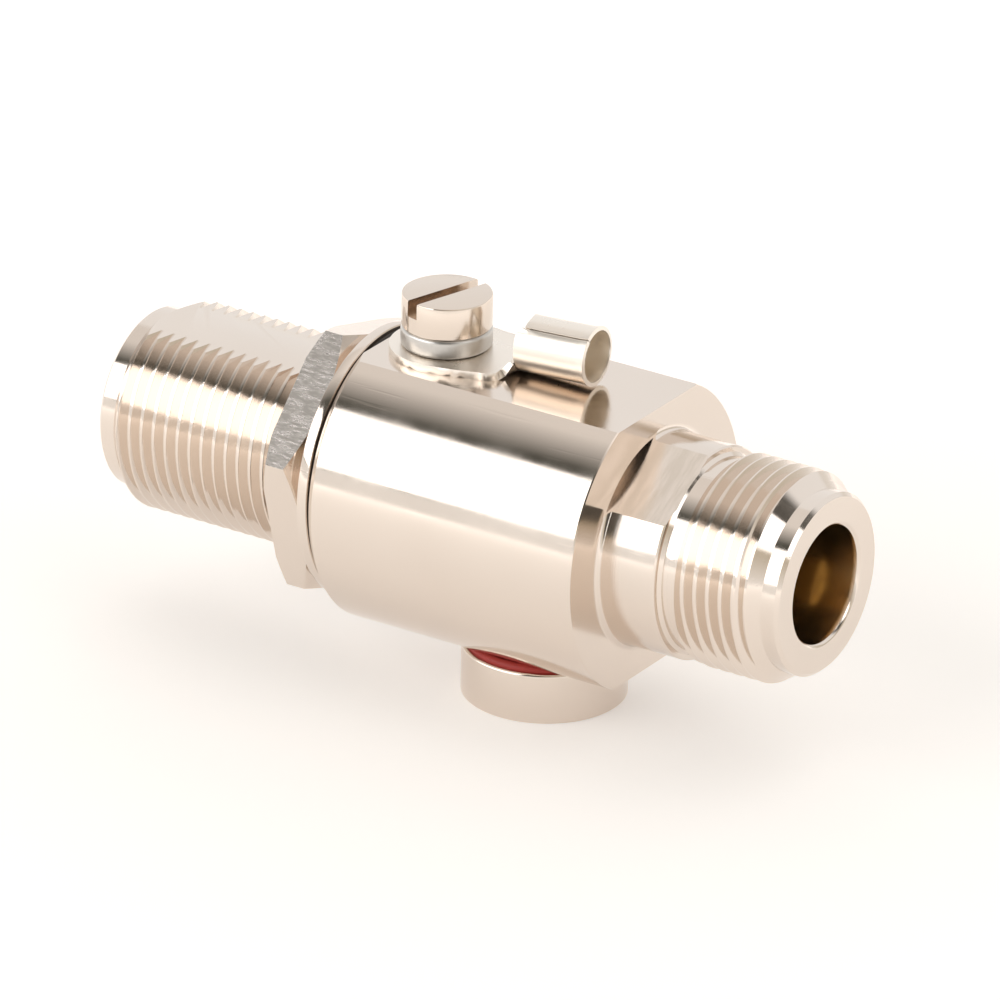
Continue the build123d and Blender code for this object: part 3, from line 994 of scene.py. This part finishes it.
steel = metal("spring steel", (0.70, 0.67, 0.64), (0.54, 0.52, 0.49), 0.30, 0.42, "Z", screw_centre, 8)
gold = metal("gold plate", (0.95, 0.66, 0.24), (0.80, 0.52, 0.16), 0.42, 0.6)
# The sockets' nickel is darker than the rest of the plating: painted shade for the deep bores.
socket_nickel_painted_shade = metal("nickel in the sockets darkened as painted shade", (0.70, 0.56, 0.38), (0.56, 0.44, 0.29), 0.14, 0.24, rings=6)

# %% [markdown]
# ## Rubber, fluoropolymer and ceramic
#
# These pieces are small and mostly hidden, but each has its own surface: rubber is dull with a fine grain
# and a trace of dust, fluoropolymer is waxy white, and fired alumina is white with a tight speckle.

# %% Plain materials
def dull(name, colour, other, roughness, grain, mark):
    """Non-metal with a speckled colour and a fine grain."""
    made, tree, shader, where = blank_material(name)
    shader.inputs["Roughness"].default_value = roughness
    speck = add(tree, "ShaderNodeTexNoise", Scale=grain, Detail=6.0, Roughness=0.6, Vector=where)
    tree.links.new(mixed(tree, speck.outputs["Fac"], colour, other), shader.inputs["Base Color"])
    raised(tree, shader, speck.outputs["Fac"], mark, 0.02)
    return made


black_rubber = dull("black rubber", (0.02, 0.014, 0.01), (0.045, 0.032, 0.024), 0.62, 2500, 0.4)
red_rubber = dull("red rubber", (0.30, 0.018, 0.014), (0.42, 0.03, 0.02), 0.5, 2200, 0.3)
fluoropolymer = dull("white fluoropolymer", (0.84, 0.84, 0.82), (0.78, 0.78, 0.75), 0.42, 900, 0.15)
ceramic = dull("white ceramic", (0.82, 0.80, 0.76), (0.74, 0.72, 0.68), 0.35, 1600, 0.2)

# %% [markdown]
# ## Put the materials on
#
# Each piece gets one material. The inner pieces, which come straight from the solid model, get theirs here
# too, because they show through the sockets and when the cap is out.

# %% Put the materials on
def paint(thing, material):
    """Give one material to a piece or a carried-over node."""
    thing.data.materials.clear()
    thing.data.materials.append(material)


for piece in (body_piece, jack_piece, nut_piece, washer_piece):
    paint(piece, nickel)
paint(cap_piece, nickel_cap)
paint(screw_piece, nickel_screw)
paint(lock_piece, steel)
paint(terminal_piece, tin)
paint(gasket_piece, black_rubber)
paint(seal_piece, red_rubber)
kept = {
    "rear_contact": gold, "front_contact": gold, "centre_conductor": nickel, "rear_bush": nickel,
    "front_bush": nickel, "tube_upper_electrode": tin, "tube_lower_electrode": tin,
    "rear_insulator": fluoropolymer, "front_insulator": fluoropolymer, "tube_ceramic": ceramic,
    "contact_spring": steel,
}
for node, material in kept.items():
    paint(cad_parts[node], material)
print("materials on", len(kept) + 10, "pieces")

# %% [markdown]
# ## Faces with a finish of their own, or with painted light and shade
#
# Some faces of a piece get another material than the rest. One pair of the hexagon's facets shows the
# hairlines of drawn bar, the jack's wrench flats are milled and painted paler as painted light, both sockets
# are darker nickel as painted shade in their deep bores, and the tin inside the terminal's barrel is dull and
# painted paler as painted light in its hollow. Each test below picks such faces by where they are or which
# way they look.

# %% Pick faces and give them their metal
def refinished(piece, material, chosen):
    """Put a further material on the faces that a test picks."""
    piece.data.materials.append(material)
    number = len(piece.data.materials) - 1
    picked = [face for face in piece.data.polygons if chosen(face)]
    for face in picked:
        face.material_index = number
    print(f"{material.name}: {len(picked)} faces of {piece.name}")


def looking_out(degrees, reach_from, reach_to):
    """Test for flats that look out at an angle from the top, or opposite, between two places on the axis."""
    turn = math.radians(degrees)
    way = Vector((0, -math.sin(turn), math.cos(turn)))

    def chosen(face):
        return reach_from * mm < face.center.x < reach_to * mm and abs(face.normal.dot(way)) > 0.99999
    return chosen


def in_socket(reach_from, reach_to):
    """Test for the walls of a socket between two places on the axis."""
    def chosen(face):
        off_axis = math.hypot(face.center.y, face.center.z - axis_z * mm)
        return reach_from * mm < face.center.x < reach_to * mm and off_axis < (socket_r + 0.05) * mm
    return chosen


def in_barrel(face):
    """Test for the inner wall of the terminal's barrel."""
    spin_back = Matrix.Rotation(math.radians(-terminal_turn), 3, "Z")
    place = spin_back @ (face.center / mm - Vector((screw_x, 0, 0)))
    middle_z = axis_z + flat_h + wall_t / 2 + roll_r + max(0, place.x - roll_from) * barrel_slope
    return place.x > barrel_from and math.hypot(place.y, place.z - middle_z) < roll_r - wall_t / 4


refinished(nut_piece, nickel_drawn, looking_out(nut_turn + 30, nut_rear - 1, nut_front + 1))
refinished(jack_piece, nickel_milled_painted_paler, looking_out(wrench_turn, body_front - 1, neck_front + 0.01))
refinished(body_piece, socket_nickel_painted_shade, in_socket(rear_tip + face_chamfer, rear_reference))
refinished(jack_piece, socket_nickel_painted_shade, in_socket(front_reference, front_face - 0.5))
refinished(terminal_piece, tin_inside_painted_paler, in_barrel)

# %% [markdown]
# ## Table
#
# A mirror shows its room, so the light is a small photo studio. The table is matt and keeps the shadow. For
# camera and mirror rays only it also shines a little, more so further out. That melts it into the white
# backdrop, and puts no more light on the arrestor.

# %% Table
def stage_material(thing, name):
    """Put an empty material on a stage piece, and give its tree and the socket for its surface."""
    made = bpy.data.materials.new(name)
    made.use_nodes = True
    made.node_tree.nodes.clear()
    thing.data.materials.append(made)
    return made.node_tree, add(made.node_tree, "ShaderNodeOutputMaterial").inputs["Surface"]


table_mesh = bmesh.new()
bmesh.ops.create_grid(table_mesh, x_segments=1, y_segments=1, size=3.0)
table = as_object(table_mesh, "table")
tree, surface = stage_material(table, "white table")
matt = add(tree, "ShaderNodeBsdfDiffuse", Color=(0.86, 0.825, 0.785, 1))
rays = add(tree, "ShaderNodeLightPath")
seen = math_node(tree, "ADD", rays.outputs["Is Camera Ray"], rays.outputs["Is Glossy Ray"])
seen = math_node(tree, "MINIMUM", math_node(tree, "ADD", seen, rays.outputs["Is Transmission Ray"]), 1.0)
table_spot = add(tree, "ShaderNodeVectorMath", operation="LENGTH")
tree.links.new(add(tree, "ShaderNodeTexCoord").outputs["Object"], table_spot.inputs[0])
near_reach, far_reach = 0.03, 0.35
near_glow, far_glow = 0.30, 0.75
further = ranged(tree, table_spot.outputs["Value"], near_reach, far_reach, near_glow, far_glow)
strength = math_node(tree, "MULTIPLY", seen, further.outputs["Result"])
glow = add(tree, "ShaderNodeEmission", Strength=strength)
both = add(tree, "ShaderNodeAddShader")
tree.links.new(matt.outputs[0], both.inputs[0])
tree.links.new(glow.outputs[0], both.inputs[1])
tree.links.new(both.outputs[0], surface)
print("table glows", near_glow, "to", far_glow)

# %% [markdown]
# ## Ceiling card
#
# The long dark band on the body is a ceiling that darkens towards the camera's side. A shining card with a
# fade gives that band more surely than a lamp. It is a stage piece, hidden from the camera, with no shadow.

# %% Ceiling card
ceiling_mesh = bmesh.new()
bmesh.ops.create_grid(ceiling_mesh, x_segments=1, y_segments=1, size=0.5)
ceiling_height = 0.6
bmesh.ops.scale(ceiling_mesh, vec=(1.6, 0.70, 1), verts=ceiling_mesh.verts)
bmesh.ops.translate(ceiling_mesh, vec=(-0.2, -0.05, ceiling_height), verts=ceiling_mesh.verts)
ceiling = as_object(ceiling_mesh, "ceiling_card")
ceiling.visible_camera = False
ceiling.visible_shadow = False
tree, surface = stage_material(ceiling, "grey card")
where = add(tree, "ShaderNodeTexCoord").outputs["Object"]
parts = add(tree, "ShaderNodeSeparateXYZ", Vector=where)
dark_from, bright_from = -0.32, -0.03
fade = ranged(tree, parts.outputs["Y"], dark_from, bright_from)
shade = mixed(tree, fade.outputs["Result"], (0.10, 0.10, 0.085), (1.0, 0.96, 0.92))
strength = math_node(tree, "ADD", math_node(tree, "MULTIPLY", parts.outputs["X"], 0.5), 1.05)
glow = add(tree, "ShaderNodeEmission", Color=shade, Strength=strength)
tree.links.new(glow.outputs[0], surface)
print("ceiling card", [round(side, 2) for side in ceiling.dimensions], "m")

# %% [markdown]
# ## Soft boxes
#
# A wide soft box low in front on the left gives the bright stripe along the body. A small one on the right
# lights the front end. Area lamps show in the metal as clean rectangles and cast soft shadows.

# %% Soft boxes
lamp_distance = 0.7


def lamp(name, width, height, level, way, lift=0.0):
    """Rectangular lamp that stands out in one direction and shines back along it."""
    data = bpy.data.lights.new(name, "AREA")
    data.shape = "RECTANGLE"
    data.size = width
    data.size_y = height
    data.energy = level * math.pi * width * height
    made = bpy.data.objects.new(name, data)
    bpy.context.scene.collection.objects.link(made)
    made.location = way * lamp_distance + Vector((0, 0, axis_z * mm + lift))
    made.rotation_mode = "QUATERNION"
    made.rotation_quaternion = way.to_track_quat("Z", "Y")
    print(f"{name}: {data.energy:.2f} W")


soft_turn = math.radians(-36)
soft_low = lamp_distance * math.tan(math.radians(9.5))
soft_high = lamp_distance * math.tan(math.radians(46.5))
soft_width, soft_level = 0.95, 2.5
soft_lift = (soft_low + soft_high) / 2
lamp("soft_box", soft_width, soft_high - soft_low, soft_level, towards(soft_turn, 0), soft_lift)

side_turn, side_rise = math.radians(83), math.radians(32)
side_width = 2 * lamp_distance * math.tan(math.radians(13))
side_height = 2 * lamp_distance * math.tan(math.radians(8))
side_level = 2.2
lamp("side_box", side_width, side_height, side_level, towards(side_turn, side_rise))

# %% [markdown]
# ## Backdrop
#
# The surround is white behind the arrestor and goes dark towards the camera's side, as a room does behind a
# photographer. Just above the table it is a bright band, which turns tan and higher towards the front.

# %% White backdrop that goes dark towards the camera
world = bpy.data.worlds.new("studio surround")
bpy.context.scene.world = world
world.use_nodes = True
tree = world.node_tree
background = tree.nodes["Background"]
sky = add(tree, "ShaderNodeTexCoord").outputs["Generated"]
way = add(tree, "ShaderNodeSeparateXYZ", Vector=sky)
up = math_node(tree, "MAXIMUM", way.outputs["Z"], 0.02)
lean = math_node(
    tree, "SUBTRACT", math_node(tree, "DIVIDE", way.outputs["Y"], up),
    math_node(tree, "MULTIPLY", math_node(tree, "DIVIDE", way.outputs["X"], up), 0.35),
)
behind = ranged(tree, lean, 0.2, 0.6, interpolation_type="SMOOTHSTEP")
room = mixed(tree, behind.outputs["Result"], (0.11, 0.105, 0.095), (1, 1, 1))
sideways = math_node(tree, "MAXIMUM", way.outputs["X"], 0.0)
band_top = math_node(tree, "ADD", math_node(tree, "MULTIPLY", sideways, 0.32), 0.15)
share = math_node(tree, "DIVIDE", way.outputs["Z"], band_top)
low_band = ranged(tree, share, 0.93, 1.0, 1.0, 0.0)
warmth = math_node(
    tree, "MULTIPLY", math_node(tree, "MINIMUM", math_node(tree, "MULTIPLY", sideways, 3.0), 1.0),
    math_node(tree, "MINIMUM", math_node(tree, "MAXIMUM", share, 0.0), 1.0),
)
band = mixed(tree, warmth, (1.0, 0.98, 0.95), (0.56, 0.49, 0.37))
tree.links.new(mixed(tree, low_band.outputs["Result"], room, band), background.inputs["Color"])
background.inputs["Strength"].default_value = 1.0
bpy.context.scene.view_settings.view_transform = "Standard"
